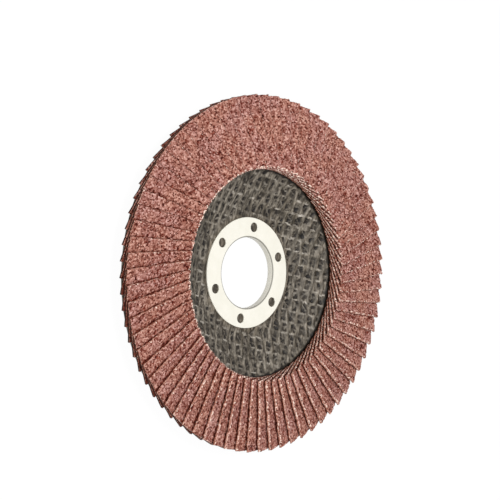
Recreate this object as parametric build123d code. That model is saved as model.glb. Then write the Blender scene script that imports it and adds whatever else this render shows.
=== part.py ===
from build123d import *
import os
from math import asin, atan2, cos, degrees, hypot, radians, sin, tan

# A flap disc for an angle grinder, lying flat with its flaps up.
# Millimetres and degrees. The origin is on the bore's axis, on the rear face
# of the hub, and +Z points out of the working side.

# ---- mounting ring: one steel pressing, a flange and a collar through the bore
bore_radius = 11.115
collar_wall = 0.5
collar_setback = 0.15  # the collar stops this far short of the hub's rear face
collar_fit = 0.03  # all round, between the collar and the plate
flange_radius = 17.35
flange_thickness = 0.5
flange_edge_round = 0.15
bore_edge_round = 0.35
ring_hole_count = 6
ring_hole_radius = 1.5
ring_hole_inset = 2.9  # from the flange's edge to the middle of a hole
ring_hole_turn = 21.8

# ---- backing plate: a saucer pressed from resin-bonded glass mesh
plate_thickness = 1.9
hub_margin = 3.15  # the hub's flat face reaches this far past the flange
hub_round = 5.0
shoulder_radius = 32.5
shoulder_rise = 4.7  # from the hub's front face up to the shoulder
shoulder_round = 1.5
annulus_slope = 2.8  # the annulus falls from the shoulder to the rim
rim_radius = 53.5
rim_round = 0.5

# ---- open mesh on the plate's front: pockets between the glass strands
mesh_pitch = 3.7
mesh_turn = -11.0
pocket_length = 2.1
pocket_width = 1.6
pocket_depth = 0.45
mesh_inner_margin = 2.7  # from the flange's edge to the middle of a pocket
mesh_outer_margin = 2.2  # from the middle of a pocket to the shoulder

# ---- resin bed: holds the flaps' buried edges on the plate
bed_thickness = 0.6
bed_inner_inset = 0.6  # from the shoulder
bed_outer_inset = 0.5  # from the rim
flap_sink = 0.45  # how deep a buried edge lies in the resin

# ---- flaps: rectangles of abrasive cloth, each one lying on the next
flap_count = 72
flap_turn = -0.6
flap_width = 13.0
flap_thickness = 0.92
flap_inner_overhang = 0.3  # from the shoulder in to a flap's inner end
flap_outer_overhang = 1.6  # from the rim out to a flap's outer end
flap_inner_clearance = 0.10  # from one flap to the next, where they crowd together
flap_outer_clearance = 0.20  # from one flap to the next, where they fan out
exposed_offset = 8.2  # from a flap's radial line to its exposed edge
flaps_per_node = 2

# ---- what follows from the sizes above
ring_front = plate_thickness + flange_thickness
ring_hole_circle_radius = flange_radius - ring_hole_inset
collar_radius = bore_radius + collar_wall
plate_bore_radius = collar_radius + collar_fit
hub_radius = flange_radius + hub_margin
shoulder_height = plate_thickness + shoulder_rise
wall_slope = degrees(atan2(shoulder_rise, shoulder_radius - hub_radius))
bed_inner_radius = shoulder_radius + bed_inner_inset
bed_outer_radius = rim_radius - bed_outer_inset
flap_inner_reach = shoulder_radius - flap_inner_overhang
flap_outer_reach = rim_radius + flap_outer_overhang
flap_step = 360 / flap_count


def annulus_height(radius):
    """Height of the plate's annulus at a radius."""
    return shoulder_height - (radius - shoulder_radius) * tan(radians(annulus_slope))


def revolved(outline):
    """A full turn of a closed outline, drawn as radius and height."""
    return revolve(make_face(outline), Axis.Z, 360)


def saucer_line(lowered):
    """The saucer's front line from the bore to the rim, lowered by a distance."""
    return FilletPolyline(
        (plate_bore_radius, 0, plate_thickness - lowered),
        (hub_radius, 0, plate_thickness - lowered),
        (shoulder_radius, 0, shoulder_height - lowered),
        (rim_radius, 0, annulus_height(rim_radius) - lowered),
        radius=[hub_round, shoulder_round],
    )


def saucer():
    """The plate before its mesh: the front line, the same line lowered, and a rounded rim."""
    front = saucer_line(0)
    rear = saucer_line(plate_thickness)
    bore = Line(front @ 0, rear @ 0)
    rim = Line(front @ 1, rear @ 1)
    plate = revolved(Wire([*front.edges(), rim, *rear.edges(), bore]))
    circles = plate.edges().filter_by(GeomType.CIRCLE)
    rim_edges = circles.group_by(lambda edge: edge.radius)[-1]
    return fillet(rim_edges, rim_round)


def pocket_centres():
    """The crossings of the mesh that lie between the flange and the shoulder."""
    inner_limit = flange_radius + mesh_inner_margin
    outer_limit = shoulder_radius - mesh_outer_margin
    reach = int(outer_limit / mesh_pitch) + 1
    crossings = [
        (column * mesh_pitch, row * mesh_pitch)
        for column in range(-reach, reach + 1)
        for row in range(-reach, reach + 1)
    ]
    return [(x, y) for x, y in crossings if inner_limit <= hypot(x, y) <= outer_limit]


def mesh_pockets():
    """The open mesh as shallow pockets, each one square to the saucer's front."""
    pocket = Box(pocket_length, pocket_width, 2 * pocket_depth)
    pockets = []
    for x, y in pocket_centres():
        slope = wall_slope if hypot(x, y) > hub_radius else 0
        height = plate_thickness + max(hypot(x, y) - hub_radius, 0) * tan(radians(slope))
        bearing = degrees(atan2(y, x))
        lean = Rot(0, 0, bearing) * Rot(0, -slope, 0) * Rot(0, 0, -bearing)
        pockets.append(Rot(0, 0, mesh_turn) * Pos(x, y, height) * lean * pocket)
    print("mesh pockets:", len(pockets))
    return pockets


def mounting_ring():
    """The flange, its punched holes and the collar that lines the bore."""
    outline = Polyline(
        (bore_radius, 0, collar_setback),
        (collar_radius, 0, collar_setback),
        (collar_radius, 0, plate_thickness),
        (flange_radius, 0, plate_thickness),
        (flange_radius, 0, ring_front),
        (bore_radius, 0, ring_front),
        close=True,
    )
    ring = revolved(outline)
    ring = fillet(front_circles(ring)[-1], flange_edge_round)
    ring = fillet(front_circles(ring)[0], bore_edge_round)
    hole = Cylinder(ring_hole_radius, 2 * flange_thickness)
    places = PolarLocations(ring_hole_circle_radius, ring_hole_count, ring_hole_turn)
    return ring - [place * Pos(0, 0, ring_front) * hole for place in places]


def front_circles(ring):
    """The round edges on the ring's front face, from the smallest to the largest."""
    return ring.edges().filter_by(GeomType.CIRCLE).group_by(Axis.Z)[-1].sort_by(SortBy.RADIUS)


def flap_section(reach, clearance):
    """A flap's section at a distance from the axis, tilted to lie on the flap below it."""
    pitch = reach * radians(flap_step)
    tilt = asin((flap_thickness + clearance) / pitch)
    exposed = -exposed_offset
    buried = exposed + flap_width * cos(tilt)
    low = annulus_height(hypot(reach, buried)) + bed_thickness - flap_sink
    high = low + flap_width * sin(tilt)
    across = flap_thickness * sin(tilt)
    up = flap_thickness * cos(tilt)
    return Wire.make_polygon(
        [
            (reach, exposed, high),
            (reach, buried, low),
            (reach, buried + across, low + up),
            (reach, exposed + across, high + up),
        ]
    )


def flaps():
    """All the flaps, each one twisted a little from its inner end to its outer end."""
    inner = flap_section(flap_inner_reach, flap_inner_clearance)
    outer = flap_section(flap_outer_reach, flap_outer_clearance)
    flap = Solid.make_loft([inner, outer], ruled=True)
    return [Rot(0, 0, flap_turn + index * flap_step) * flap for index in range(flap_count)]


def resin_bed(sunk_flaps):
    """The ring of resin on the annulus, with a groove for each flap's buried edge."""
    inner_foot = annulus_height(bed_inner_radius)
    outer_foot = annulus_height(bed_outer_radius)
    outline = Polyline(
        (bed_inner_radius, 0, inner_foot),
        (bed_outer_radius, 0, outer_foot),
        (bed_outer_radius, 0, outer_foot + bed_thickness),
        (bed_inner_radius, 0, inner_foot + bed_thickness),
        close=True,
    )
    return revolved(outline) - sunk_flaps


def main():
    os.makedirs("parts", exist_ok=True)
    all_flaps = flaps()
    export_step(saucer() - mesh_pockets(), "parts/backing_plate.step")
    export_step(mounting_ring(), "parts/mounting_ring.step")
    export_step(resin_bed(all_flaps), "parts/resin_bed.step")
    for first in range(0, flap_count, flaps_per_node):
        group = Compound(all_flaps[first : first + flaps_per_node])
        export_step(group, f"parts/flap_pair_{first // flaps_per_node + 1:02d}.step")


main()
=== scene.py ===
# %% [markdown]
# # A flap disc
# A flap disc is the sanding wheel of an angle grinder. Overlapping flaps of
# abrasive cloth are glued round a saucer of resin and glass mesh, and a steel
# ring lines the hole that takes the grinder's spindle. This lesson builds its
# looks round the CAD solids, which are loaded first and stay where they are.

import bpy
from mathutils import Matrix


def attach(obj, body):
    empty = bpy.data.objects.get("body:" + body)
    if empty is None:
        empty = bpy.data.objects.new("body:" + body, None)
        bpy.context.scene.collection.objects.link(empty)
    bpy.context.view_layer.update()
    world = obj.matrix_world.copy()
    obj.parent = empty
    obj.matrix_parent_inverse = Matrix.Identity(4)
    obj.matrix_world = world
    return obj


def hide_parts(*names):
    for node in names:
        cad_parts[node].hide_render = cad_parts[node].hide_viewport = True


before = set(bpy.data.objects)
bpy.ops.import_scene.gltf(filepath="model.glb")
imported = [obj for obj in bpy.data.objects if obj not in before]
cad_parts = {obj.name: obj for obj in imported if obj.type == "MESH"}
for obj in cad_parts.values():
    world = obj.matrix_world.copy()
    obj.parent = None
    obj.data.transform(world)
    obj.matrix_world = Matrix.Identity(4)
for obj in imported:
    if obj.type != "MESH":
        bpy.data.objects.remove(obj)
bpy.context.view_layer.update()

# %% [markdown]
# Blender works in metres, and a flap disc is easier to think of in
# millimetres. So the lengths below are in millimetres and are multiplied by
# MM where they meet Blender. Points are kept in numpy arrays, because moving
# a hundred thousand of them one at a time would be slow.

# %% Units and tools
from math import asin, atan2, cos, degrees, hypot, pi, radians, sin, tan

import bmesh
import bpy
import numpy as np
from mathutils import Vector

MM = 0.001


def points_of(mesh):
    """A mesh's points in millimetres, one row each."""
    flat = np.empty(len(mesh.vertices) * 3, np.float32)
    mesh.vertices.foreach_get("co", flat)
    return flat.reshape(-1, 3).astype(float) / MM


def move_points(mesh, places):
    """Puts a mesh's points at places given in millimetres."""
    mesh.vertices.foreach_set("co", (places * MM).astype(np.float32).ravel())
    mesh.update()


def write_values(mesh, name, values):
    """Keeps one number at each point, for a material to read."""
    kept = mesh.attributes.new(name, "FLOAT", "POINT")
    kept.data.foreach_set("value", values.astype(np.float32))


def show(name, mesh, node, materials):
    """Makes a mesh a piece of the disc: it rides on the body and stands for its solid."""
    for material in materials:
        mesh.materials.append(material)
    piece = bpy.data.objects.new(name, mesh)
    bpy.context.scene.collection.objects.link(piece)
    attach(piece, "root")
    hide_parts(node)
    return piece


# %% [markdown]
# Colours are written as the hex values that a paint program shows. Blender's
# shaders want linear light, so one function turns them. A second function
# adds a node to a material and fills its inputs, with numbers or with the
# outputs of other nodes.

# %% Colours and nodes
def colour(code):
    """An sRGB hex value as linear red, green, blue and alpha."""
    parts = [int(code[i:i + 2], 16) / 255 for i in (0, 2, 4)]
    line = [p / 12.92 if p <= 0.04045 else ((p + 0.055) / 1.055) ** 2.4 for p in parts]
    return (*line, 1.0)


def add(tree, kind, inputs=None, stops=None, **settings):
    """Adds a node with its settings, its inputs and a colour ramp's stops."""
    node = tree.nodes.new(kind)
    for name, value in settings.items():
        setattr(node, name, value)
    for name, value in (inputs or {}).items():
        if isinstance(value, bpy.types.NodeSocket):
            tree.links.new(value, node.inputs[name])
        else:
            node.inputs[name].default_value = value
    if stops:
        ramp = node.color_ramp.elements
        while len(ramp) < len(stops):
            ramp.new(0.5)
        for element, (place, code) in zip(ramp, stops):
            element.position = place
            element.color = colour(code)
    return node


def start_material(name):
    """A new material, with its node tree, its shader and the object coordinates."""
    material = bpy.data.materials.new(name)
    material.use_nodes = True
    tree = material.node_tree
    tree.nodes.clear()
    shader = add(tree, "ShaderNodeBsdfPrincipled")
    add(tree, "ShaderNodeOutputMaterial", {"Surface": shader.outputs["BSDF"]})
    places = add(tree, "ShaderNodeTexCoord").outputs["Object"]
    return material, tree, shader, places


# %% [markdown]
# The camera looks down at the disc from the left, half way between its face
# and its edge. A long lens keeps the circle free of strong perspective. A
# quaternion holds its turn, which has a little roll in it as well as tilt.

# %% Camera
camera_data = bpy.data.cameras.new("camera")
camera_data.lens = 142.79
camera_data.sensor_width = 36
camera = bpy.data.objects.new("camera", camera_data)
camera.location = (-0.43409, 0, 0.44508)
camera.rotation_mode = "QUATERNION"
camera.rotation_quaternion = (0.925305, -0.003223, -0.378509, 0.023046)
bpy.context.scene.collection.objects.link(camera)
bpy.context.scene.camera = camera
print("camera:", round(camera.location.length / MM), "mm from the disc")

# %% [markdown]
# The disc lies on a white floor. A background is only white where the floor
# itself comes out white, and more lamps would bleach the disc, so the floor
# is two surfaces. A ray from the camera, or one that metal or glass sends on,
# meets a floor that glows just short of white and takes a little of the
# lamps' light, which the disc's shadow still darkens. All other rays meet a
# grey one, which throws little light back up.

# %% Floor
floor_size = 6.0
floor_lift = 0.95
floor_share = 0.07


def straight_ray(tree):
    """One for rays from the camera, off metal or through glass, and none for the rest."""
    path = add(tree, "ShaderNodeLightPath")
    seen = add(tree, "ShaderNodeMath", {0: path.outputs["Is Camera Ray"],
                                        1: path.outputs["Is Glossy Ray"]}, operation="MAXIMUM")
    return add(tree, "ShaderNodeMath", {0: seen.outputs[0],
                                        1: path.outputs["Is Transmission Ray"]},
               operation="MAXIMUM").outputs[0]


floor_bm = bmesh.new()
bmesh.ops.create_grid(floor_bm, x_segments=1, y_segments=1, size=floor_size / 2)
floor_mesh = bpy.data.meshes.new("floor")
floor_bm.to_mesh(floor_mesh)
floor_bm.free()
floor = bpy.data.objects.new("floor", floor_mesh)
bpy.context.scene.collection.objects.link(floor)

floor_paint, tree, shader, _ = start_material("matt_white_floor")
shader.inputs["Base Color"].default_value = colour("A0A0A0")
shader.inputs["Roughness"].default_value = 0.9
faint = add(tree, "ShaderNodeBsdfDiffuse", {"Color": (floor_share,) * 3 + (1.0,)})
lifted = add(tree, "ShaderNodeEmission", {"Strength": floor_lift})
both = add(tree, "ShaderNodeAddShader", {0: faint.outputs[0], 1: lifted.outputs[0]})
seen = add(tree, "ShaderNodeMixShader", {0: straight_ray(tree), 1: shader.outputs[0],
                                         2: both.outputs[0]})
add(tree, "ShaderNodeOutputMaterial", {"Surface": seen.outputs[0]}, is_active_output=True)
floor_mesh.materials.append(floor_paint)
print("floor:", floor_size, "m wide")

# %% [markdown]
# An even white world fills the shadows. A key lamp overhead and a front lamp,
# lower and on the camera's side, give the flaps' edges a direction. Both are
# area lamps, whose wide faces soften the shadows. The view transform is
# Standard, so that a colour renders much as it is written.

# %% World and lamps
world_strength = 0.47
lamps = {
    "key": {"place": (-0.20, 0.26, 1.15), "width": 0.4, "power": 5.1},
    "front": {"place": (-0.89, -0.24, 0.77), "width": 0.4, "power": 5.4},
}

world = bpy.data.worlds.new("white_studio")
bpy.context.scene.world = world
world.use_nodes = True
tree = world.node_tree
tree.nodes.clear()
even = add(tree, "ShaderNodeBackground", {"Color": colour("FFFFFF"), "Strength": world_strength})
white = add(tree, "ShaderNodeBackground", {"Color": colour("FFFFFF"), "Strength": 1.0})
seen = add(tree, "ShaderNodeMixShader", {0: straight_ray(tree), 1: even.outputs[0],
                                         2: white.outputs[0]})
add(tree, "ShaderNodeOutputWorld", {"Surface": seen.outputs[0]})

for name, lamp in lamps.items():
    light = bpy.data.lights.new(name, "AREA")
    light.energy = lamp["power"]
    light.size = lamp["width"]
    stand = bpy.data.objects.new(name, light)
    stand.location = lamp["place"]
    stand.rotation_mode = "QUATERNION"
    stand.rotation_quaternion = (-Vector(lamp["place"])).to_track_quat("-Z", "Y")
    bpy.context.scene.collection.objects.link(stand)
bpy.context.scene.view_settings.view_transform = "Standard"
print("lamps:", len(lamps))

# %% [markdown]
# A flap is a rectangle of abrasive cloth, laid on the flap before it like a
# roof tile. Because the flaps crowd together near the axis, each one is
# tilted more at its inner end, so it is twisted along its length. These
# numbers give the corners of its section at both ends, drawn for a flap whose
# radial line is the X axis.

# %% Where a flap lies
flap_count = 72
flap_step = 360 / flap_count
flap_turn = -0.6
flap_width = 13.0
flap_thickness = 0.92
exposed_offset = 8.2  # from the radial line to the exposed edge
shoulder_radius = 32.5
shoulder_height = 6.6
annulus_slope = 2.8
resin_under_flap = 0.15
flap_ends = {"inner": (32.2, 0.10), "outer": (55.1, 0.20)}  # reach, and gap to the next flap


def flap_corners(reach, clearance):
    """Exposed and buried bottom corners of a flap's section, and the way through the cloth."""
    tilt = asin((flap_thickness + clearance) / (reach * radians(flap_step)))
    buried = flap_width * cos(tilt) - exposed_offset
    drop = (hypot(reach, buried) - shoulder_radius) * tan(radians(annulus_slope))
    low = shoulder_height - drop + resin_under_flap
    exposed_corner = np.array([reach, -exposed_offset, low + flap_width * sin(tilt)])
    buried_corner = np.array([reach, buried, low])
    through = np.array([0, sin(tilt), cos(tilt)]) * flap_thickness
    return exposed_corner, buried_corner, through


for end, (reach, clearance) in flap_ends.items():
    print(end, "end, exposed corner:", np.round(flap_corners(reach, clearance)[0], 2))

# %% [markdown]
# All the flaps come from one flat pattern: a grid that is extruded to a slab
# one unit long, wide and thick. Its columns are close together along the
# exposed edge, where the grit is seen, and wide apart under the neighbours.
# The slab's x, y and z say how far along, across and up through the cloth a
# point is, and a later step bends the slab to its place.

# %% The pattern of a flap
rows = 74
edge_columns = [0, 0.13, 0.28]
fine_columns = 18
fine_start, fine_width = 0.6, 5.4
coarse_columns = 3
GRIT, CUT, BACK = 0, 1, 2

columns = fine_columns + coarse_columns
pattern = bmesh.new()
bmesh.ops.create_grid(pattern, x_segments=rows, y_segments=columns, size=0.5)
column_places = np.concatenate([
    edge_columns, np.linspace(fine_start, fine_width, fine_columns - 2),
    np.linspace(fine_width, flap_width, coarse_columns + 1)[1:]]) / flap_width
for vertex in pattern.verts:
    column = round((vertex.co.y + 0.5) * columns)
    vertex.co = (vertex.co.x + 0.5, column_places[column], 0)
risen = bmesh.ops.extrude_face_region(pattern, geom=pattern.faces[:], use_keep_orig=True)
top_points = [part for part in risen["geom"] if isinstance(part, bmesh.types.BMVert)]
bmesh.ops.translate(pattern, verts=top_points, vec=(0, 0, 1))
bmesh.ops.recalc_face_normals(pattern, faces=pattern.faces)
print("pattern:", len(pattern.faces), "faces")

# %% [markdown]
# A slab has three kinds of face: grit on top, cloth below and cut edges all
# round. Faces are shaded smooth, and the edges where two kinds meet are kept
# sharp, as a knife leaves them.

# %% The kinds of face
for face in pattern.faces:
    heights = [vertex.co.z for vertex in face.verts]
    face.material_index = GRIT if min(heights) > 0.5 else BACK if max(heights) < 0.5 else CUT
    face.smooth = True
for edge in pattern.edges:
    edge.smooth = len({face.material_index for face in edge.link_faces}) == 1
pattern_mesh = bpy.data.meshes.new("flap_pattern")
pattern.to_mesh(pattern_mesh)
pattern.free()
slab = points_of(pattern_mesh) * MM
top = slab[:, 2] > 0.5
print("points on top:", int(top.sum()), "of", len(slab))

# %% [markdown]
# Real flaps aren't perfect, and noise gives them their faults. A line of
# noise is a row of random values joined up, and a field of noise is a grid
# of them. The generator has a fixed seed, so every run gives the same disc.

# %% Chance and noise
flap_length = flap_ends["outer"][0] - flap_ends["inner"][0]
random = np.random.default_rng(7)


def smooth_step(value, low, high):
    """Rises from 0 to 1 between two values, with no corner at either."""
    t = np.clip((value - low) / (high - low), 0, 1)
    return t * t * (3 - 2 * t)


def noise_line(where, knots):
    """Random values along a line, joined up. where runs from 0 to 1."""
    return np.interp(where, np.linspace(0, 1, knots), random.random(knots))


def noise_field(along, across, spacing):
    """Random values on a grid with this spacing in millimetres, blended between its points."""
    tall, wide = int(flap_length / spacing) + 2, int(flap_width / spacing) + 2
    values = random.random((tall, wide))
    u, v = along * (tall - 1.001), across * (wide - 1.001)
    i, j = u.astype(int), v.astype(int)
    p, q = u - i, v - j
    return ((1 - p) * ((1 - q) * values[i, j] + q * values[i, j + 1])
            + p * ((1 - q) * values[i + 1, j] + q * values[i + 1, j + 1]))


# %% [markdown]
# Some faults change slowly round the disc. The row of flaps has crept, so
# its spacing is uneven. On one side the corner where a strip meets the next
# flap's edge is painted with a wider, darker shade. On another side more of the
# edges' grains are pale, partly broken grains and partly painted highlight.

# %% Faults, painted shade and painted highlight that follow the turn
# Turns are in degrees round the disc.
creep_start = 8.4
# The corner beside the next flap's edge is painted with shade, widest and darkest toward this
# turn.
darkest_corner_turn = 225
corner_width, wider_corner = 0.12, 0.4  # in millimetres, everywhere and where the painted shade is widest
corner_shade, darker_corner = 0.42, 0.32
# The exposed edges are palest toward this turn, partly worn grains and partly painted highlight.
palest_edge_turn = 325
edge_pale_share, extra_pale_share = 0.84, 0.2


def uneven_spacing(turn):
    """How far a flap at this turn has crept round, in degrees."""
    angle = radians(turn - creep_start)
    return 0.51 * cos(angle) - 0.39 * sin(angle) - 0.15 * cos(2 * angle)


def dark_corner(turn):
    """How wide, in millimetres, and how dark the painted shade in the corner beside a flap's edge
    is.
    """
    wave = 0.5 + 0.5 * cos(radians(turn - darkest_corner_turn))
    # Between 135 and 180 degrees an edge hides the corner from the camera, so the painted shade
    # there is wider.
    behind_edge = flap_thickness * max(sin(radians(turn)), 0) * smooth_step(turn, 135, 160)
    return corner_width + wider_corner * wave + behind_edge, corner_shade + darker_corner * wave


def edge_wear_and_highlight(turn):
    """How pale a flap's exposed edge is, as a share: worn grains and painted highlight."""
    return edge_pale_share + extra_pale_share * (0.5 + 0.5 * cos(radians(turn - palest_edge_turn))) ** 2


print("creep in degrees:", [round(uneven_spacing(turn), 2) for turn in range(0, 360, 90)])

# %% [markdown]
# The face of a flap is rough: each grain stands a little higher or lower, and
# grains that fell out have left pits. Along the exposed edge the grit has
# crumbled, and the corner beside the next flap's edge sinks a little and is
# painted with shade. Everything is taken away from the cloth and never added,
# so a flap stays inside its solid.

# %% The face of a flap
grit_depth = 0.10
pit_depth = 0.26
pit_spacing = 0.5
pit_range = (0.60, 0.90)  # the noise at which a pit begins, and is deepest
strip_stretch = 1.03  # the seen strip, as a share of the step from flap to flap
corner_depth = 0.15
crumble_width = 0.28
crumble_depth = 0.30
least_share = 0.35  # of a corner's shade and of the crumbling, where the noise is low


def face_of_flap(along, across, turn):
    """How deep each point has sunk, and how light the grit is there, with painted shade in its
    corner.
    """
    pits = smooth_step(noise_field(along, across, pit_spacing), *pit_range)
    reach = flap_ends["inner"][0] + along * flap_length
    to_next = reach * radians(flap_step) * strip_stretch - across * flap_width
    ragged = 0.55 + 0.9 * noise_line(along, 64)
    # Painted shade: the corner beside the next flap's edge is darkened.
    width, shade = dark_corner(turn)
    corner = smooth_step(width * ragged - to_next, -0.1, 0.25)
    broken = smooth_step(noise_line(along, 40), 0.1, 0.7)
    shade = shade * (least_share + (1 - least_share) * broken)
    crumbled = smooth_step(crumble_width - across * flap_width, 0, crumble_width)
    crumbled *= least_share + (1 - least_share) * noise_line(along, 64)
    sunk = grit_depth * random.random(len(slab)) + pit_depth * pits
    shown = 1 - np.maximum(sunk / (grit_depth + pit_depth), shade * corner)
    sunk = sunk + corner_depth * corner + crumble_depth * crumbled
    return np.where(top, sunk, 0), np.where(top, shown, 1)


# %% [markdown]
# The slab is now bent to its place. Its corners come from the sections at
# both ends, and the points between are blended, which gives the twist. The
# exposed edge is trimmed to a ragged line and lifts a little from the flap
# below. The ends are trimmed too, and at the outer end the buried side droops
# over the rim.

# %% Bending a flap to its place
edge_raggedness = 0.60
trim_waves = {9: 0.15, 27: 0.5, 64: 0.35}  # knots of noise, and the share of each
edge_lift = 0.18
edge_lift_width = 1.0
end_raggedness = 0.16
end_share = 0.06  # of the length, over which an end's trim fades out
corner_droop = 0.4
turn_error = 0.08  # in degrees


def lay_flap(along, across, up, sunk):
    """The places of a flap's points while its radial line is the X axis."""
    inner = flap_corners(*flap_ends["inner"])
    outer = flap_corners(*flap_ends["outer"])
    exposed, buried, through = [
        a + (b - a) * along[:, None] for a, b in zip(inner, outer)]
    trim = edge_raggedness / flap_width * sum(
        share * noise_line(along, knots) for knots, share in trim_waves.items())
    side = trim + across * (1 - trim)
    lift = edge_lift * noise_line(along, 12) * np.exp(-across * flap_width / edge_lift_width)
    rise = up + (lift * (1 - up) - sunk) / flap_thickness
    places = exposed + (buried - exposed) * side[:, None] + through * rise[:, None]
    end_trim = end_raggedness * noise_line(across, 30)
    places[:, 0] += end_trim * (smooth_step(end_share - along, 0, end_share)
                                - smooth_step(along, 1 - end_share, 1))
    places[:, 2] -= corner_droop * smooth_step(along, 0.9, 1) * across ** 2
    return places


def bend_flap(number):
    """The places of one flap's points, and how light the grit is at each, with painted shade in
    its corner.
    """
    along, across, up = slab.T
    turn = flap_turn + number * flap_step
    sunk, shown = face_of_flap(along, across, turn)
    places = lay_flap(along, across, up, sunk)
    turn += uneven_spacing(turn) + random.uniform(-turn_error, turn_error)
    c, s = cos(radians(turn)), sin(radians(turn))
    x, y = places[:, 0].copy(), places[:, 1].copy()
    places[:, 0], places[:, 1] = c * x - s * y, s * x + c * y
    return places, shown


print("one flap reaches", round(float(np.linalg.norm(bend_flap(0)[0][:, :2], axis=1).max()), 2))

# %% [markdown]
# The flaps carry brown aluminium oxide, about 40 grit, so a grain is some
# 0.4 mm across. It is scattered on the cloth and sized over with red-brown
# resin. The eye sees crushed grains, each with its own tone, with dark gaps
# between them. A Voronoi pattern at the size of a grain gives each one a tone
# and a rounded shape, and noise nearly twice as coarse breaks its even look.

# %% Abrasive grit: tones
grain_size = 0.44 * MM
flecks_per_grain = 0.55
patches_per_mm = 0.12

# Brown aluminium oxide sized with resin: rough and dusty, so it hardly shines.
grit, tree, shader, places = start_material("brown_aluminium_oxide_on_resin")
shader.inputs["Roughness"].default_value = 0.7
shader.inputs["Specular IOR Level"].default_value = 0.15
grains = add(tree, "ShaderNodeTexVoronoi", {"Vector": places, "Scale": 1 / grain_size})
flecks = add(tree, "ShaderNodeTexNoise", {"Vector": places,
                                          "Scale": flecks_per_grain / grain_size,
                                          "Detail": 3.0, "Roughness": 0.7})
patches = add(tree, "ShaderNodeTexNoise", {"Vector": places, "Scale": patches_per_mm / MM,
                                           "Detail": 2.0})
tone = add(tree, "ShaderNodeSeparateColor", {"Color": grains.outputs["Color"]})
mixed = add(tree, "ShaderNodeMix", {"Factor": 0.40, 2: tone.outputs[0],
                                    3: flecks.outputs["Fac"]})
tones = add(tree, "ShaderNodeValToRGB", {"Fac": mixed.outputs[0]}, stops=[
    (0.22, "562519"), (0.36, "8C5548"), (0.50, "A87466"), (0.64, "BB8779"), (0.84, "E8BCAE")])
print("grains along a flap:", round(flap_length * MM / grain_size))

# %% [markdown]
# Two attributes of the mesh finish the grit. One darkens low grains and the
# pits, partly as painted shade, and paints shade into the corner beside the
# next flap's edge. The other says how worn a point is, and where noise and wear
# are both strong, a grain shows a pale core, part broken grain and part painted
# highlight.

# %% Abrasive grit: pits, painted shade and painted highlight
breaks_per_mm = 1.7

# Darker low grains and pits, partly painted shade, and painted shade in the corner beside the
# next flap's edge.
high = add(tree, "ShaderNodeAttribute", attribute_name="grain_and_shade")
pits = add(tree, "ShaderNodeValToRGB", {"Fac": high.outputs["Fac"]}, stops=[
    (0.10, "74301E"), (0.45, "C49080"), (0.70, "FFFFFF")])
pitted = add(tree, "ShaderNodeMix", {"Factor": 1.0, 6: tones.outputs[0], 7: pits.outputs[0]},
             data_type="RGBA", blend_type="MULTIPLY")
tints = add(tree, "ShaderNodeValToRGB", {"Fac": patches.outputs["Fac"]}, stops=[
    (0.40, "FFF9F5"), (0.60, "FCF9FF")])
body = add(tree, "ShaderNodeMix", {"Factor": 1.0, 6: pitted.outputs[2], 7: tints.outputs[0]},
           data_type="RGBA", blend_type="MULTIPLY")
near_edge = add(tree, "ShaderNodeAttribute", attribute_name="edge")
breaks = add(tree, "ShaderNodeTexNoise", {"Vector": places, "Scale": breaks_per_mm / MM,
                                          "Detail": 1.0})
# Painted highlight, with real wear: worn edges show pale grain cores where the noise is strong.
worn_and_lit = add(tree, "ShaderNodeMath", {0: near_edge.outputs["Fac"], 1: breaks.outputs["Fac"]},
           operation="MULTIPLY")
broken = add(tree, "ShaderNodeValToRGB", {"Fac": worn_and_lit.outputs[0]}, stops=[
    (0.515, "000000"), (0.555, "FFFFFF")])
whole = add(tree, "ShaderNodeMix", {0: broken.outputs[0], 6: body.outputs[2],
                                    7: colour("FFE4D4")}, data_type="RGBA")
tree.links.new(whole.outputs[2], shader.inputs["Base Color"])
rounded = add(tree, "ShaderNodeMath", {0: flecks.outputs["Fac"], 1: grains.outputs["Distance"]},
              operation="SUBTRACT")
bump = add(tree, "ShaderNodeBump", {"Height": rounded.outputs[0], "Strength": 0.8,
                                    "Distance": 0.14 * MM})
tree.links.new(bump.outputs[0], shader.inputs["Normal"])
print("nodes in the grit:", len(tree.nodes))

# %% [markdown]
# A flap's cut edge shows its layers. The grit and its size coat are pale and
# broken at the top, with painted highlight, and the cloth under them is dark
# with resin and painted shade at the foot. The height through the cloth is kept
# at each point as the attribute "layer", so the layers follow the twist of the
# flap, and noise chips their border.

# %% Cut edge of the cloth
chips_per_mm = 1.5

# Cloth, resin and grain cut through by a knife: dull, with pale chips and a painted highlight
# along the top, and painted shade at the foot.
cut, tree, shader, places = start_material("cut_edge_of_abrasive_cloth")
shader.inputs["Roughness"].default_value = 0.75
shader.inputs["Specular IOR Level"].default_value = 0.15
layer = add(tree, "ShaderNodeAttribute", attribute_name="layer")
chips = add(tree, "ShaderNodeTexNoise", {"Vector": places, "Scale": chips_per_mm / MM,
                                         "Detail": 3.0, "Roughness": 0.7})
shift = add(tree, "ShaderNodeMath", {0: chips.outputs["Fac"], 1: 2.6, 2: -1.40},
            operation="MULTIPLY_ADD")
chipped = add(tree, "ShaderNodeMath", {0: layer.outputs["Fac"], 1: shift.outputs[0]},
              operation="ADD")
# The foot is dark and the top near white: the layers' own colours, with painted shade at the foot
# and painted highlight at the top.
layers = add(tree, "ShaderNodeValToRGB", {"Fac": chipped.outputs[0]}, stops=[
    (0.0, "2E1A11"), (0.12, "61382A"), (0.34, "9C5C4A"), (0.54, "C08876"), (0.80, "CF9C86"),
    (1.0, "FFE6D8")])
tree.links.new(layers.outputs[0], shader.inputs["Base Color"])
bump = add(tree, "ShaderNodeBump", {"Height": chips.outputs["Fac"], "Strength": 0.6,
                                    "Distance": 0.1 * MM})
tree.links.new(bump.outputs[0], shader.inputs["Normal"])
print("layers:", len(layers.color_ramp.elements), "tones")

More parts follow.
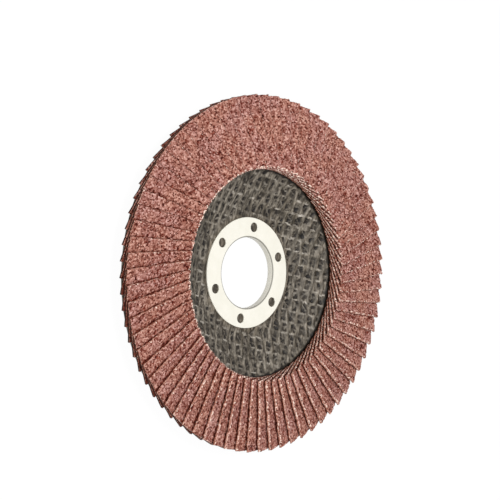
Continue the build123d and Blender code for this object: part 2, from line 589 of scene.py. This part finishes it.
# %% [markdown]
# The back of a flap is plain cotton cloth, soaked with the resin that holds
# it. Two wave patterns cross as warp and weft. A wave texture repeats every
# pi / 10 of a unit, so these threads are 0.95 mm apart. Those of real cloth
# are about 0.5 mm apart, and would blur to one tone at this distance.

# %% Cloth back
cloth_scale = 0.33 / MM

# Woven cotton, stiff with resin: brown, with a faint check that catches the light.
back, tree, shader, places = start_material("resin_soaked_cotton_cloth")
shader.inputs["Roughness"].default_value = 0.7
weft, warp = [add(tree, "ShaderNodeTexWave", {"Vector": places, "Scale": cloth_scale,
                                              "Distortion": 1.5}, bands_direction=axis)
              for axis in "XY"]
crossed = add(tree, "ShaderNodeMath", {0: weft.outputs["Fac"], 1: warp.outputs["Fac"]},
              operation="MULTIPLY")
cloth = add(tree, "ShaderNodeValToRGB", {"Fac": crossed.outputs[0]}, stops=[
    (0.0, "4A2A20"), (0.5, "7A4B3B"), (1.0, "956552")])
tree.links.new(cloth.outputs[0], shader.inputs["Base Color"])
bump = add(tree, "ShaderNodeBump", {"Height": crossed.outputs[0], "Strength": 0.6,
                                    "Distance": 0.1 * MM})
tree.links.new(bump.outputs[0], shader.inputs["Normal"])
print("threads across a flap:", round(flap_width * MM * cloth_scale * 10 / pi))

# %% [markdown]
# The cut edges aren't all alike. At the outer end the whole edge is darker,
# and darker still toward the buried side, partly dark cloth and glue and partly
# painted shade under the neighbouring flaps. At the inner end the foot is
# darker, as painted shade between the flaps' ends, and along the exposed side
# the foot carries less painted shade. The attribute "layer" holds all of this,
# and "edge" holds where the face is pale: worn along the exposed side, with
# painted highlight, and worn at both ends.

# %% Layers, wear, painted shade and painted highlight on the pattern
# The outer and inner ends of a cut edge carry painted shade at the foot, and the exposed side
# carries less.
outer_stretch, outer_darkening, buried_darkening = 1.35, 0.5, 0.3
inner_stretch, inner_darkening = 1.2, 0.22
foot_lightening = 0.35
pale_strip, pale_fade = 0.28, 0.32  # in millimetres from the exposed side
end_wear = 1.25
inner_wear, rim_wear = 1.2, 0.3  # in millimetres from the ends

at_inner_end, at_outer_end = slab[:, 0] < 0.01, slab[:, 0] > 0.99
on_side = (slab[:, 1] < 0.01) & ~at_inner_end & ~at_outer_end
side_shown = np.clip(1 - (slab[:, 1] * flap_width - pale_strip) / pale_fade, 0, 1)
ends_shown = np.clip(end_wear - np.minimum(slab[:, 0] * flap_length / inner_wear,
                                           (1 - slab[:, 0]) * flap_length / rim_wear), 0, 1)
outer_shade = outer_darkening + buried_darkening * np.clip(2.2 * slab[:, 1] - 0.3, 0, 1)
layer_shown = np.where(at_outer_end, outer_stretch * slab[:, 2] - outer_shade, slab[:, 2])
layer_shown = np.where(at_inner_end, inner_stretch * layer_shown - inner_darkening, layer_shown)
layer_shown += foot_lightening * (1 - slab[:, 2]) * on_side
print("worn points on a flap:", int(((side_shown > 0) | (ends_shown > 0)).sum()))

# %% [markdown]
# The solids hold the flaps two by two, so a piece holds two flaps as well.
# Each piece starts from two copies of the pattern, and its points are then
# moved. No two flaps are the same, because each one draws its own noise.

# %% All the flaps
flaps_per_node = 2
patchy_paleness = 0.14  # the share of an edge's paleness that comes and goes along it

for first in range(0, flap_count, flaps_per_node):
    pair = bmesh.new()
    for _ in range(flaps_per_node):
        pair.from_mesh(pattern_mesh)
    name = f"flap_pair_{first // flaps_per_node + 1:02d}"
    mesh = bpy.data.meshes.new(name + "_cloth")
    pair.to_mesh(mesh)
    pair.free()
    bent = [bend_flap(first + i) for i in range(flaps_per_node)]
    pale_shares = [edge_wear_and_highlight(flap_turn + (first + i) * flap_step) for i in range(flaps_per_node)]
    move_points(mesh, np.concatenate([places for places, _ in bent]))
    write_values(mesh, "grain_and_shade", np.concatenate([grain_and_shade for _, grain_and_shade in bent]))
    write_values(mesh, "layer", np.tile(layer_shown, flaps_per_node))
    # Pale exposed edges: worn grains and painted highlight, varying round the disc.
    write_values(mesh, "edge", np.concatenate([
        np.maximum(side_shown * pale_share * (1 - patchy_paleness + patchy_paleness
                                        * noise_line(slab[:, 0], 26)), ends_shown)
        for pale_share in pale_shares]))
    show(name + "_cloth", mesh, name, [grit, cut, back])
print("flaps:", flap_count, "in", flap_count // flaps_per_node, "pieces")

# %% [markdown]
# The backing plate is a saucer pressed from glass mesh in dark resin: a flat
# hub, a sloping wall and a nearly flat annulus that carries the flaps. Its
# section is drawn with straight runs, and a vertex bevel rounds the corners.
# The bevel's offset is measured along a run, so it is the radius times the
# tangent of half the turn.

# %% The plate's section
plate_thickness = 1.9
plate_bore_radius = 11.645
flange_radius = 17.35  # the ring covers the plate as far as this
hub_radius = 20.5
hub_round = 5.0
shoulder_round = 1.5
rim_radius = 53.5
rim_round = 0.5

rim_height = shoulder_height - (rim_radius - shoulder_radius) * tan(radians(annulus_slope))
wall_slope = degrees(atan2(shoulder_height - plate_thickness, shoulder_radius - hub_radius))
front_line = [(plate_bore_radius, plate_thickness), (hub_radius, plate_thickness),
              (shoulder_radius, shoulder_height), (rim_radius, rim_height)]
rear_line = [(radius, height - plate_thickness) for radius, height in front_line]
roundings = {1: hub_round * tan(radians(wall_slope / 2)),
             2: shoulder_round * tan(radians((wall_slope + annulus_slope) / 2)),
             3: rim_round}

section = bmesh.new()
corners = [section.verts.new((radius * MM, 0, height * MM))
           for radius, height in front_line + rear_line[::-1]]
for here, there in zip(corners, corners[1:] + corners[:1]):
    section.edges.new((here, there))
last = len(corners) - 1
for index, offset in roundings.items():
    bmesh.ops.bevel(section, geom=[corners[index], corners[last - index]], affect="VERTICES",
                    offset=offset * MM, offset_type="OFFSET", segments=5, profile=0.5,
                    material=-1)
print("section:", len(section.verts), "points after rounding")

# %% [markdown]
# How finely a run is divided depends on what it shows. The front from the
# ring to the shoulder carries the weave that is seen up close, the rear
# carries a plainer one, and what lies under the flaps stays coarse. The long
# runs of the annulus are halved before the rest is divided. The section is
# then spun a full turn round the axis.

# %% Spin the plate
front_step = 0.28
rear_step = 0.65
hidden_step = 2.0
spin_steps = 510


def step_for(edge):
    """The wanted length of an edge of the section, in millimetres."""
    radius, height = [sum(v.co[i] for v in edge.verts) / 2 / MM for i in (0, 2)]
    line = np.interp(radius, *zip(*front_line))
    if abs(height - line) > 0.5 * plate_thickness:
        return rear_step
    return front_step if radius < shoulder_radius + 1 else hidden_step


annulus_runs = [edge for edge in section.edges if edge.calc_length() > 12 * MM
                and max(v.co.x for v in edge.verts) > 50 * MM]
bmesh.ops.subdivide_edges(section, edges=annulus_runs, cuts=1)
for edge in section.edges[:]:
    cuts = int(edge.calc_length() / MM / step_for(edge))
    if cuts:
        bmesh.ops.subdivide_edges(section, edges=[edge], cuts=cuts)
bmesh.ops.spin(section, geom=section.verts[:] + section.edges[:], cent=(0, 0, 0),
               axis=(0, 0, 1), angle=2 * pi, steps=spin_steps, use_merge=True)
bmesh.ops.remove_doubles(section, verts=section.verts, dist=0.001 * MM)
bmesh.ops.recalc_face_normals(section, faces=section.faces)
for face in section.faces:
    face.smooth = True
plate_mesh = bpy.data.meshes.new("backing_plate_mesh")
section.to_mesh(plate_mesh)
section.free()
print("plate:", len(plate_mesh.polygons), "faces")

# %% [markdown]
# Glass mesh for grinding wheels is a leno weave: flat weft yarns lie in rows,
# and thin pairs of warp yarns cross over between the rows and lock them. The
# resin shrinks into the openings and leaves pockets of dark resin, which are
# also painted darker the deeper they lie, as shade. A weave this fine would take
# a great many strands as meshes, so it is a height that is worked out at each
# point of the plate. First comes where a point lies in the lattice, which is
# shaken and bent a little, as pressing leaves it.

# %% The lattice
warp_pitch = 3.0
weft_pitch = 3.75
leno_shift = 0.33  # odd rows sit to one side and even rows to the other
shake_size = 0.12
table_size = 64  # of the table of chances, past which it repeats


def wander(x, y, size, seed):
    """Slow noise from -1 to 1, made of a few crossed waves of about this size."""
    turns = np.random.default_rng(seed).uniform(0, 2 * pi, (4, 2))
    waves = [np.sin((x * np.cos(a) + y * np.sin(a)) * 2 * pi / size + b) for a, b in turns]
    return sum(waves) / len(waves)


def lattice(x, y, turn, seed):
    """How far points lie along the warp, below a row and off an opening's middle, and chances."""
    turn = radians(turn)
    shake = np.random.default_rng(seed + 3).uniform(-shake_size, shake_size, (2, len(x)))
    u = x * cos(turn) + y * sin(turn) + shake[0]
    v = -x * sin(turn) + y * cos(turn) + shake[1]
    u += 0.35 * wander(x, y, 9.0, seed) + 0.2 * wander(x, y, 3.1, seed + 4)
    v += 0.35 * wander(x, y, 8.0, seed + 1) + 0.2 * wander(x, y, 2.7, seed + 5)
    row = np.floor(v / weft_pitch)
    below = weft_pitch * (1 - (v / weft_pitch - row))
    shifted = u + leno_shift * np.where(row % 2 > 0.5, 1, -1)
    column = np.floor(shifted / warp_pitch)
    gap = (shifted / warp_pitch - column - 0.5) * warp_pitch
    chances = np.random.default_rng(seed + 2).random((5, table_size, table_size))
    return v, below, gap, chances[:, row.astype(int) % table_size,
                                  column.astype(int) % table_size]


print("openings across the hub:", round(2 * hub_radius / warp_pitch))

# %% [markdown]
# Next comes the height. A strand is a rounded ridge round its middle line,
# and what no strand covers is the floor of a pocket. Some stretches of warp
# lie partly bare and others have sunk in resin, so how much glass shows is
# worked out beside the height, with painted glints on some weft and crossing
# strands.

# %% The strands
warp_half_width = 0.58
warp_swing = 0.3  # each way, as a pair of yarns crosses over
weft_half_width, wider_weft = 0.28, 0.2
cross_place = 1.9  # below its row, where a crossing strand passes an opening's middle
cross_half_width = 0.3


def ridge(distance, half_width):
    """The rounded top of a strand: 1 on its middle line and 0 beside it."""
    return np.sqrt(np.clip(1 - (distance / half_width) ** 2, 0, 1))


def weave(x, y, turn, seed):
    """Height from -1 to 0 and how much glass shows, with painted glints, for one layer of the
    mesh.
    """
    v, below, gap, (shine, filled, skew, lean, glint) = lattice(x, y, turn, seed)
    beside = gap - np.sign(gap) * warp_pitch / 2
    swing = warp_swing * np.cos(pi * v / weft_pitch)
    strands = np.maximum(ridge(beside - swing, warp_half_width),
                         ridge(beside + swing, warp_half_width))
    bare_strand = smooth_step(lean, 0.1, 0.7)
    warp = np.where(strands > 0, -0.6 + 0.25 * bare_strand + 0.35 * strands, -1)
    from_weft = np.minimum(below, weft_pitch - below)
    thickness = weft_half_width + wider_weft * skew
    weft = -0.35 + 0.35 * ridge(from_weft, thickness) * ridge(gap, 1.05)
    weft = np.where((from_weft < thickness) & (np.abs(gap) < 1.0), weft, -1)
    slant = np.abs(below - cross_place + (2.4 * lean - 1.2) * gap + 0.6 * (skew - 0.5))
    cross = np.where(slant < cross_half_width, -0.6 + 0.3 * ridge(slant, cross_half_width), -1)
    pocket_floor = -1.0 + 0.4 * filled ** 2
    height = np.minimum(np.maximum.reduce([warp, weft, cross, pocket_floor]), 0)
    glass = np.zeros(len(x))
    # Painted glints: some crossing and weft strands are made near white at random.
    glass = np.where(cross >= height, 0.1 + 0.4 * glint, glass)
    glass = np.where(warp >= height, 0.22 * strands * bare_strand, glass)
    glass = np.where(weft >= height, 0.15 + 0.85 * shine ** 2, glass)
    return height, glass


# %% [markdown]
# A grinding disc has several layers of mesh, each turned against the last.
# Two are enough for the eye: the upper one, and a second seen deeper down in
# its openings. The rear shows one layer, pressed flatter. The height moves
# each point inward along its normal. It fades out toward the ring, and most
# of it toward the flaps, where squeezed-out resin hides the mesh.

# %% Press the weave into the plate
weave_turn = -11.0
layer_turn = 38.0
lower_relief, lower_depth = 0.5, 0.32
pocket_depth = 0.6
fuzz_share = 0.2
rear_relief = 0.55


def two_layers(x, y, seed):
    """The mesh, with a second layer of it seen deeper down in its openings."""
    height, glass = weave(x, y, weave_turn, seed)
    low_height, low_glass = weave(x, y, weave_turn + layer_turn, seed + 20)
    low_height = lower_relief * low_height - lower_depth
    return np.maximum(height, low_height), np.where(low_height > height, 0.6 * low_glass, glass)


plate_places = points_of(plate_mesh)
x, y = plate_places[:, 0].copy(), plate_places[:, 1].copy()
radius = np.hypot(x, y)
normals = np.empty(len(plate_places) * 3, np.float32)
plate_mesh.vertex_normals.foreach_get("vector", normals)
normals = normals.reshape(-1, 3)
front, rear = normals[:, 2] > 0.5, normals[:, 2] < -0.5
clear = smooth_step(radius, flange_radius, 19.5) * (1 - 0.75 * smooth_step(radius, 31.5, 32.3))
clear = np.where(rear, rear_relief * (1 - 0.9 * smooth_step(radius, 52, 53)), clear)
clear = np.where(front | rear, clear, 0)
height, glass = two_layers(x, y, 11)
rear_height, rear_glass = weave(-x, y, weave_turn, 61)
height, glass = np.where(rear, rear_height, height), np.where(rear, rear_glass, glass)
fuzz = np.random.default_rng(5).random(len(plate_places))
sink = (-height * clear + fuzz_share * fuzz * np.sign(clear)) * pocket_depth
plate_places -= normals * sink[:, None]
move_points(plate_mesh, plate_places)
print("deepest pocket:", round(float(sink.max()), 2), "mm")

# %% [markdown]
# The plate's material reads two attributes. One says how deep a point lies and
# paints shade there: deeper points darker, a dark band at the foot of the
# flaps, part squeezed-out resin and part painted shade, and the plate seen
# through the ring's holes. The other says how bare the glass is, with painted
# glints on some strands.

# %% Pockets with painted shade, and bare glass with painted glints
# A dark band at the foot of the flaps, part squeezed-out resin and part painted shade under their
# overhang.
dark_band_shade = 0.7
dark_band_start, dark_band_full = 31.6, 32.4
hole_shade = 0.35

run_out = 0.5 * wander(plate_places[:, 0], plate_places[:, 1], 3.0, 9)
resin_and_shade_band = dark_band_shade * front * smooth_step(radius + run_out, dark_band_start, dark_band_full)
# Painted shade on the plate seen through the ring's holes.
under_ring = hole_shade * (radius < flange_radius - 0.05)
write_values(plate_mesh, "pocket_shade", np.maximum.reduce([-height * clear, resin_and_shade_band, under_ring]))
write_values(plate_mesh, "glass", glass * (0.3 + 0.7 * clear))
print("mean of the glass on the front:", round(float(glass[front].mean()), 2))

# %% [markdown]
# Phenolic resin is nearly black, and the glass in it is grey, so the plate
# looks like dark stone with pale threads. It is pressed and cured, and left
# with a dull skin. A thread is a bundle of fibres, so noise stretched along
# the warp or the weft streaks it. Real fibres are far too fine to see, and
# the streaks are drawn about 0.8 mm apart instead.

# %% Resin and glass
# How many streaks there are to a millimetre, turned into a texture's scales.
streaks_across, streaks_along, streaks_through = [n / MM for n in (1.3, 0.33, 0.9)]

# Phenolic resin pressed over glass mesh: near black and dull, with grey streaks of fibre and
# painted glints on bare glass.
plate_skin, tree, shader, places = start_material("phenolic_resin_over_glass_mesh")
turned = add(tree, "ShaderNodeMapping", {"Vector": places,
                                         "Rotation": (0, 0, radians(-weave_turn))})
warp_fibres, weft_fibres = [
    add(tree, "ShaderNodeTexNoise", {
        "Vector": add(tree, "ShaderNodeMapping", {"Vector": turned.outputs[0],
                                                  "Scale": scale}).outputs[0],
        "Scale": 1.0, "Detail": 3.0})
    for scale in ((streaks_across, streaks_along, streaks_through),
                  (streaks_along, streaks_across, streaks_through))]
glass_and_glint_shown = add(tree, "ShaderNodeAttribute", attribute_name="glass")
pocket_shown = add(tree, "ShaderNodeAttribute", attribute_name="pocket_shade")
fibres = add(tree, "ShaderNodeMix", {"Factor": glass_and_glint_shown.outputs["Fac"],
                                     2: warp_fibres.outputs["Fac"],
                                     3: weft_fibres.outputs["Fac"]})
resin_tone = add(tree, "ShaderNodeValToRGB", {"Fac": fibres.outputs[0]}, stops=[
    (0.34, "201A11"), (0.50, "524A3D"), (0.66, "8E8475")])
glass_and_glint_tone = add(tree, "ShaderNodeValToRGB", {"Fac": fibres.outputs[0]}, stops=[
    (0.34, "746B5F"), (0.66, "DCD5CA")])
threads = add(tree, "ShaderNodeMix", {0: glass_and_glint_shown.outputs["Fac"], 6: resin_tone.outputs[0],
                                      7: glass_and_glint_tone.outputs[0]}, data_type="RGBA")
# Painted shade: deeper points, the band at the flaps' foot and the plate under the ring are
# darkened.
shade = add(tree, "ShaderNodeValToRGB", {"Fac": pocket_shown.outputs["Fac"]}, stops=[
    (0.15, "FFFFFF"), (0.62, "50463A"), (1.0, "2A2218")])
plate_colour = add(tree, "ShaderNodeMix", {"Factor": 1.0, 6: threads.outputs[2],
                                           7: shade.outputs[0]},
                   data_type="RGBA", blend_type="MULTIPLY")
tree.links.new(plate_colour.outputs[2], shader.inputs["Base Color"])
shader.inputs["Roughness"].default_value = 0.5
shader.inputs["Specular IOR Level"].default_value = 0.3
bump = add(tree, "ShaderNodeBump", {"Height": fibres.outputs[0], "Strength": 0.5,
                                    "Distance": 0.15 * MM})
tree.links.new(bump.outputs[0], shader.inputs["Normal"])
show("backing_plate_weave", plate_mesh, "backing_plate", [plate_skin])
print("nodes in the plate:", len(tree.nodes))

# %% [markdown]
# The mounting ring is stamped from sheet steel: a flat flange with six round
# holes that the resin grips, and a collar drawn down through the bore. The
# flange starts as circles, for its edge, its bore and its holes. They are
# filled between, as a punch would leave the sheet, and the sheet is then
# extruded to its thickness.

# %% The ring's flange
bore_radius = 11.115
collar_wall = 0.5
flange_thickness = 0.5
hole_count = 6
hole_radius = 1.5
hole_circle_radius = 14.45
hole_turn = 21.8
flange_segments, bore_segments, hole_segments = 256, 192, 40
ring_front = plate_thickness + flange_thickness

ring = bmesh.new()
outlines = [(flange_radius, 0, 0, flange_segments),
            (bore_radius + collar_wall, 0, 0, bore_segments)]
for index in range(hole_count):
    bearing = radians(hole_turn + index * 360 / hole_count)
    outlines.append((hole_radius, hole_circle_radius * cos(bearing),
                     hole_circle_radius * sin(bearing), hole_segments))
for radius_mm, x, y, segments in outlines:
    made = bmesh.ops.create_circle(ring, segments=segments, radius=radius_mm * MM)
    bmesh.ops.translate(ring, verts=made["verts"], vec=(x * MM, y * MM, plate_thickness * MM))
bmesh.ops.triangle_fill(ring, edges=ring.edges[:], use_beauty=True)
lifted_sheet = bmesh.ops.extrude_face_region(ring, geom=ring.faces[:], use_keep_orig=True)
front_points = [p for p in lifted_sheet["geom"] if isinstance(p, bmesh.types.BMVert)]
bmesh.ops.translate(ring, verts=front_points, vec=(0, 0, flange_thickness * MM))
bmesh.ops.recalc_face_normals(ring, faces=ring.faces)
print("flange:", len(ring.faces), "faces")

# %% [markdown]
# A punch leaves a small round on the edges it enters. The bevel operator
# makes it, on the loops of edges that lie between the flat front and the
# walls. A small function finds such a loop by its distance from a centre.

# %% Rounded edges
edge_round = 0.15
hole_edge_round = 0.1
near = 0.1  # how far a loop's points may lie from their radius


def front_loop(radius_mm, centre=(0, 0)):
    """The edges on the flange's front that lie at a distance from a centre."""
    chosen = []
    for edge in ring.edges:
        if len({face.normal.z > 0.5 for face in edge.link_faces}) != 2:
            continue
        distances = [hypot(v.co.x / MM - centre[0], v.co.y / MM - centre[1]) for v in edge.verts]
        level = min(v.co.z for v in edge.verts) > (ring_front - 0.01) * MM
        if level and radius_mm - near < min(distances) and max(distances) < radius_mm + near:
            chosen.append(edge)
    return chosen


ring.normal_update()
bmesh.ops.bevel(ring, geom=front_loop(flange_radius), affect="EDGES", offset=edge_round * MM,
                offset_type="OFFSET", segments=4, profile=0.5, material=-1)
for radius_mm, x, y, _ in outlines[2:]:
    ring.normal_update()
    bmesh.ops.bevel(ring, geom=front_loop(radius_mm, (x, y)), affect="EDGES",
                    offset=hole_edge_round * MM, offset_type="OFFSET", segments=3,
                    profile=0.5, material=-1)
print("ring after bevels:", len(ring.faces), "faces")

# %% [markdown]
# The collar is a short tube, spun from its own section, with a large round
# where the sheet was drawn over at the front and a small one at the rear. It
# stops just short of the plate's rear face. Flat faces keep flat shading, and
# the walls and rounds are smooth.

# %% The collar
collar_setback = 0.15
bore_edge_round = 0.35
rear_edge_round = 0.1

tube = bmesh.new()
tube_line = [(bore_radius + collar_wall, collar_setback), (bore_radius, collar_setback),
             (bore_radius, ring_front), (bore_radius + collar_wall, ring_front)]
tube_points = [tube.verts.new((r * MM, 0, z * MM)) for r, z in tube_line]
for here, there in zip(tube_points, tube_points[1:] + tube_points[:1]):
    tube.edges.new((here, there))
for index, offset, segments in ((2, bore_edge_round, 6), (1, rear_edge_round, 3)):
    bmesh.ops.bevel(tube, geom=[tube_points[index]], affect="VERTICES", offset=offset * MM,
                    offset_type="OFFSET", segments=segments, profile=0.5, material=-1)
bmesh.ops.spin(tube, geom=tube.verts[:] + tube.edges[:], cent=(0, 0, 0), axis=(0, 0, 1),
               angle=2 * pi, steps=bore_segments, use_merge=True)
bmesh.ops.remove_doubles(tube, verts=tube.verts, dist=0.001 * MM)
bmesh.ops.recalc_face_normals(tube, faces=tube.faces)
tube_mesh = bpy.data.meshes.new("collar_tube")
tube.to_mesh(tube_mesh)
tube.free()
ring.from_mesh(tube_mesh)
for face in ring.faces:
    face.smooth = abs(face.normal.z) < 0.999
ring_mesh = bpy.data.meshes.new("mounting_ring_mesh")
ring.to_mesh(ring_mesh)
ring.free()
print("ring with its collar:", len(ring_mesh.polygons), "faces")

# %% [markdown]
# The steel is coated with a cream lacquer against rust, sprayed on and baked.
# It is smooth and slightly glossy, with a faint mottle. Where the collar
# turns into the bore a grey line of painted shade runs round the edge, and the
# bore's wall is painted a little greyer as shade, and an attribute marks where.

# %% Lacquered steel
mottle_per_mm = 0.26
wall_shade = 0.1

# Cream lacquer sprayed on sheet steel: an even, pale gloss that the eye reads as clean.
lacquer, tree, shader, places = start_material("cream_lacquer_on_steel")
mottle = add(tree, "ShaderNodeTexNoise", {"Vector": places, "Scale": mottle_per_mm / MM,
                                          "Detail": 4.0, "Roughness": 0.6})
cream = add(tree, "ShaderNodeValToRGB", {"Fac": mottle.outputs["Fac"]}, stops=[
    (0.3, "F7F4E6"), (0.7, "FEFBEF")])
gloss = add(tree, "ShaderNodeMapRange", {"Value": mottle.outputs["Fac"], "To Min": 0.3,
                                         "To Max": 0.45})
# Grey painted shade at the bore's edge and wall, mixed into the cream.
bore_shade = add(tree, "ShaderNodeAttribute", attribute_name="bore_shade")
lacquer_and_shade = add(tree, "ShaderNodeMix", {0: bore_shade.outputs["Fac"], 6: cream.outputs[0],
                                     7: colour("8F8C82")}, data_type="RGBA")
tree.links.new(lacquer_and_shade.outputs[2], shader.inputs["Base Color"])
tree.links.new(gloss.outputs[0], shader.inputs["Roughness"])
bump = add(tree, "ShaderNodeBump", {"Height": mottle.outputs["Fac"], "Strength": 0.15,
                                    "Distance": 0.05 * MM})
tree.links.new(bump.outputs[0], shader.inputs["Normal"])
ring_places = points_of(ring_mesh)
from_axis = np.hypot(ring_places[:, 0], ring_places[:, 1])
# Painted shade: a grey line round the bore's front edge and a little grey on its wall.
bore_edge_shade = 1 - smooth_step(from_axis, bore_radius + 0.25, bore_radius + 0.5)
on_wall = from_axis < bore_radius + 0.03
write_values(ring_mesh, "bore_shade", np.where(on_wall, wall_shade, bore_edge_shade))
show("mounting_ring_steel", ring_mesh, "mounting_ring", [lacquer])
print("points on the bore's wall:", int(on_wall.sum()))

# %% [markdown]
# The bed of resin under the flaps keeps its CAD shape, with a groove for each
# flap, so only its slot gets a material. It is cast epoxy, which cures with a
# shine and goes cloudy brown from its filler.

# %% Resin bed
clouds_per_mm = 0.5

# Epoxy, cast in place: dark brown and slightly glossy, with a soft unevenness.
resin, tree, shader, places = start_material("brown_cast_epoxy")
cloud = add(tree, "ShaderNodeTexNoise", {"Vector": places, "Scale": clouds_per_mm / MM,
                                         "Detail": 3.0})
brown = add(tree, "ShaderNodeValToRGB", {"Fac": cloud.outputs["Fac"]}, stops=[
    (0.3, "2B1912"), (0.7, "4A2D21")])
tree.links.new(brown.outputs[0], shader.inputs["Base Color"])
shader.inputs["Roughness"].default_value = 0.35
bump = add(tree, "ShaderNodeBump", {"Height": cloud.outputs["Fac"], "Strength": 0.4,
                                    "Distance": 0.2 * MM})
tree.links.new(bump.outputs[0], shader.inputs["Normal"])
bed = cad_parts["resin_bed"]
bed.material_slots[0].material = resin
print("resin bed:", len(bed.data.polygons), "faces")
